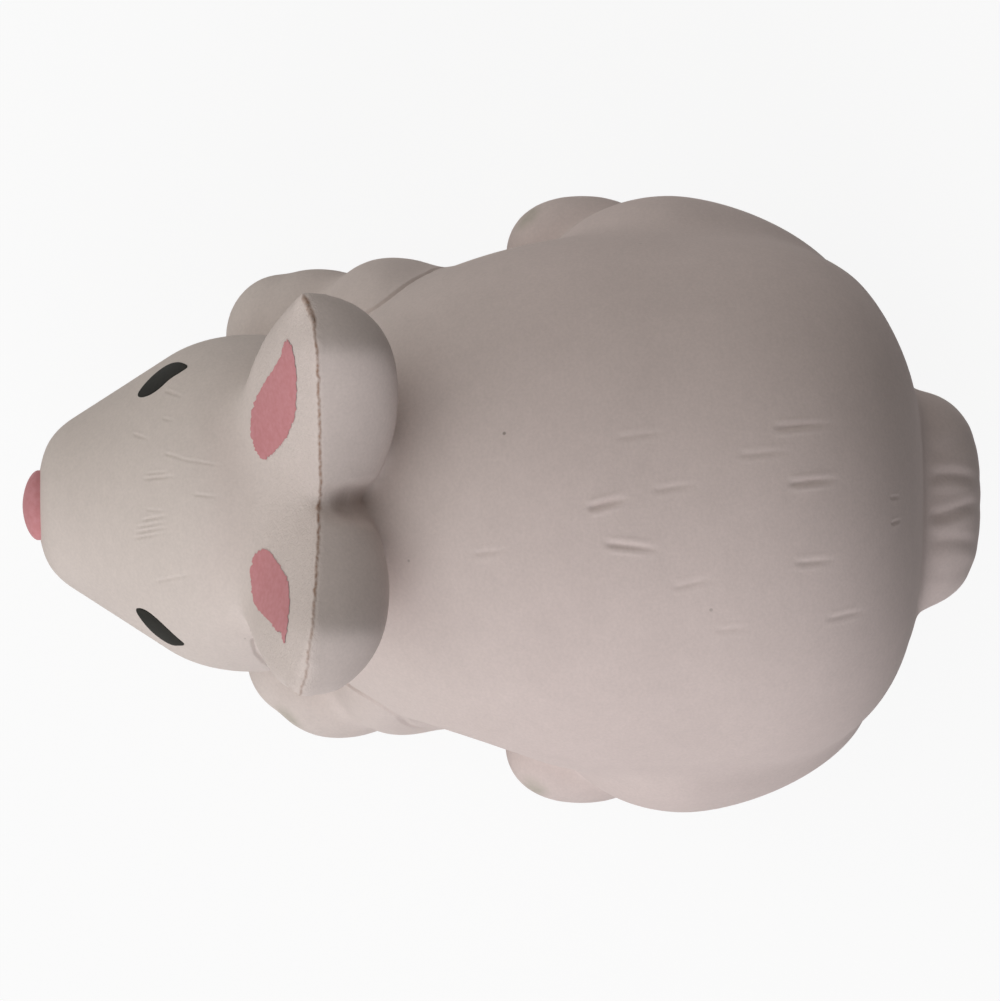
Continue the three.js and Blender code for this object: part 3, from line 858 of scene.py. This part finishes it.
# the flash: the rim's own brown, laid a little behind the ridge so that it also paints the ridge's shadow
flashAndShadowShare = addNode(foam, "Attribute", attribute_name="flash").outputs["Fac"]
rimNoise = addNode(foam, "TexNoise", {
    "Vector": place, "Scale": perMm(foamLook["flashGrain"]), "Detail": 3}).outputs["Fac"]
rimBreaks = addNode(foam, "MapRange", {
    "Value": rimNoise, "From Min": 0.3, "From Max": 0.6, "To Min": 0.3}).outputs["Result"]
marks.append((flashAndShadowShare, rimBreaks, foamLook["flash"]))
for first, second, tint in marks:
    share = addNode(foam, "Math", {0: first, 1: second}, operation="MULTIPLY").outputs[0]
    colour = addNode(foam, "MixRGB", {
        "Fac": share, "Color1": colour, "Color2": linear(tint)}).outputs["Color"]

# fine grain everywhere, and wrinkles on the ear fronts
grain = addNode(foam, "TexNoise", {
    "Vector": place, "Scale": perMm(foamLook["grain"]), "Detail": 2}).outputs["Fac"]
bump = addNode(foam, "Bump", {
    "Height": grain, "Strength": 0.3, "Distance": foamLook["grainDepth"] * mm}).outputs["Normal"]
wrinkle = addNode(foam, "TexNoise", {
    "Vector": place, "Scale": perMm(foamLook["wrinkle"]), "Detail": 2, "Distortion": 1.5}).outputs["Fac"]
onFronts = addNode(foam, "Math", {0: onEarHeight, 1: onEarFront}, operation="MULTIPLY").outputs[0]
wrinkle = addNode(foam, "Math", {0: wrinkle, 1: onFronts}, operation="MULTIPLY").outputs[0]
bump = addNode(foam, "Bump", {
    "Height": wrinkle, "Strength": 0.6, "Distance": foamLook["wrinkleDepth"] * mm,
    "Normal": bump}).outputs["Normal"]
surface = addNode(foam, "BsdfPrincipled", {
    "Base Color": colour, "Roughness": foamLook["roughness"], "IOR": foamLook["ior"], "Normal": bump})
addNode(foam, "OutputMaterial", {"Surface": surface.outputs["BSDF"]})


def makePaint(name, settings):  # an even coat with faint streaks and pin-holes
    paint = newMaterial(name)
    place = addNode(paint, "TexCoord").outputs["Object"]
    streak = addNode(paint, "TexNoise", {
        "Vector": place, "Scale": perMm(settings["streak"]), "Detail": 3}).outputs["Fac"]
    shade = addNode(paint, "MapRange", {"Value": streak, "From Min": 0.3, "From Max": 0.7}).outputs["Result"]
    colour = addNode(paint, "MixRGB", {
        "Fac": shade, "Color1": linear(settings["deep"]),
        "Color2": linear(settings["light"])}).outputs["Color"]
    cells = addNode(paint, "TexVoronoi", {
        "Vector": place, "Scale": perMm(settings["pinSpacing"])}).outputs["Distance"]
    share = settings["pinSize"] / settings["pinSpacing"]
    pin = addNode(paint, "MapRange", {
        "Value": cells, "From Min": 0.5 * share, "From Max": share,
        "To Min": 0.6, "To Max": 0}).outputs["Result"]
    colour = addNode(paint, "MixRGB", {
        "Fac": pin, "Color1": colour, "Color2": linear(settings["pin"])}).outputs["Color"]
    bump = addNode(paint, "Bump", {
        "Height": streak, "Strength": 0.2, "Distance": settings["depth"] * mm}).outputs["Normal"]
    surface = addNode(paint, "BsdfPrincipled", {
        "Base Color": colour, "Roughness": settings["roughness"], "IOR": settings["ior"], "Normal": bump})
    addNode(paint, "OutputMaterial", {"Surface": surface.outputs["BSDF"]})
    return paint


# pink acrylic, sprayed through a mask: flat
pinkPaint = makePaint("pink_acrylic_paint", {
    "deep": "#c07d80", "light": "#c8898d", "streak": 0.5, "depth": 0.015,
    "pin": "#a86b6c", "pinSpacing": 1.9, "pinSize": 0.16, "roughness": 0.62, "ior": 1.45,
})

# dark acrylic on the eyes: satin
darkPaint = makePaint("dark_acrylic_paint", {
    "deep": "#1a1914", "light": "#23211b", "streak": 0.5, "depth": 0.015,
    "pin": "#33322c", "pinSpacing": 1.7, "pinSize": 0.12, "roughness": 0.6, "ior": 1.2,
})

looks = {**{name: foam for name in parts}, "left_ear_lining": pinkPaint, "right_ear_lining": pinkPaint,
         "left_eye": darkPaint, "right_eye": darkPaint, "nose": pinkPaint}
pieces = {**parts, **films, "nose": nose}
for name, piece in pieces.items():
    piece.data.materials.clear()
    piece.data.materials.append(looks[name])
    piece.data.polygons.foreach_set("material_index", np.zeros(len(piece.data.polygons), dtype=np.int32))
print("materials given")


# what each piece stands for and moves with
for name, piece in pieces.items():
    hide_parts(name)
    if name.endswith(("ear", "ear_lining")):
        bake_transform(piece)
    elif name in ("head", "nose", "left_eye", "right_eye"):
        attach(piece, "head")
    elif name.endswith(("haunch", "hind_foot")):
        side = 1 if name.startswith("left") else -1
        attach(piece, "left_flank" if side > 0 else "right_flank")
        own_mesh(piece)
    else:
        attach(piece, "tail" if name == "tail" else "torso")
        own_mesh(piece)
print("pieces riding")


# stage: white floor, a soft room lighter towards the front, a soft lamp from the left, camera straight above
stageLook = {
    "floor": "#f4f4f4", "bounce": "#b2b2b2", "glow": 0.9, "floorSize": 6, "floorDrop": 0.05,
    "room": 0.47, "roomTint": (1, 0.995, 0.965, 1), "swing": 0.68, "brightEnd": (-0.3, -0.93, -0.2),
    "key": 2.42, "keyTint": (0.985, 0.995, 1.03), "keyFrom": (0.519, -0.057, 0.3), "keySize": 0.68,
    "cameraAt": (-0.25, 0.05, 720), "inFocus": 20, "seen": 96.1,  # the picture spans that much at that height
}
bpy.ops.object.select_all(action="DESELECT")
bpy.ops.mesh.primitive_plane_add(size=stageLook["floorSize"], location=(0, 0, -stageLook["floorDrop"] * mm))
floor = bpy.context.active_object
floor.name = "floor"


def directlySeen(material):
    ray = addNode(material, "LightPath").outputs
    rays = {0: ray["Is Glossy Ray"], 1: ray["Is Transmission Ray"]}
    mirrored = addNode(material, "Math", rays, operation="MAXIMUM").outputs[0]
    return addNode(material, "Math", {0: ray["Is Camera Ray"], 1: mirrored}, operation="MAXIMUM").outputs[0]


floorCard = newMaterial("white_card")
shade = addNode(floorCard, "MixRGB", {
    "Fac": directlySeen(floorCard), "Color1": linear(stageLook["bounce"]),
    "Color2": linear(stageLook["floor"])}).outputs["Color"]
card = addNode(floorCard, "BsdfDiffuse", {"Color": shade}).outputs["BSDF"]
glow = addNode(floorCard, "Emission", {"Color": (1, 1, 1, 1), "Strength": 1}).outputs["Emission"]
share = addNode(floorCard, "Math", {
    0: directlySeen(floorCard), 1: stageLook["glow"]}, operation="MULTIPLY").outputs[0]
both = addNode(floorCard, "MixShader", {0: share, 1: card, 2: glow}).outputs["Shader"]
addNode(floorCard, "OutputMaterial", {"Surface": both})
floor.data.materials.append(floorCard)

world = bpy.data.worlds.new("studio")
world.use_nodes = True
world.node_tree.nodes.clear()
skyward = addNode(world, "TexCoord").outputs["Object"]
brightest = tuple(Vector(stageLook["brightEnd"]).normalized())
towards = addNode(world, "VectorMath", {0: skyward, 1: brightest}, operation="DOT_PRODUCT").outputs["Value"]
strength = addNode(world, "Math", {
    0: towards, 1: stageLook["swing"], 2: stageLook["room"]}, operation="MULTIPLY_ADD").outputs[0]
strength = addNode(world, "Math", {0: strength, 1: 0}, operation="MAXIMUM").outputs[0]
room = addNode(world, "Background", {
    "Color": stageLook["roomTint"], "Strength": strength}).outputs["Background"]
backdrop = addNode(world, "Background", {"Color": (1, 1, 1, 1), "Strength": 1}).outputs["Background"]
sky = addNode(world, "MixShader", {0: directlySeen(world), 1: room, 2: backdrop}).outputs["Shader"]
addNode(world, "OutputWorld", {"Surface": sky})
bpy.context.scene.world = world

bpy.ops.object.light_add(type="AREA", location=stageLook["keyFrom"])
lamp = bpy.context.active_object
lamp.name = "lamp"
lamp.data.shape = "DISK"
lamp.data.size = stageLook["keySize"]
lamp.data.energy = stageLook["key"]
lamp.data.color = stageLook["keyTint"]
lamp.visible_camera = False
lamp.rotation_euler = (-Vector(stageLook["keyFrom"])).to_track_quat("-Z", "Y").to_euler()

cameraAt = Vector(stageLook["cameraAt"])
bpy.ops.object.camera_add(location=cameraAt * mm, rotation=(0, 0, math.pi / 2))
camera = bpy.context.active_object
camera.data.sensor_fit = "HORIZONTAL"
camera.data.lens = camera.data.sensor_width * (cameraAt.z - stageLook["inFocus"]) / stageLook["seen"]
bpy.context.scene.camera = camera
bpy.context.scene.view_settings.view_transform = "Standard"
print("stage set")
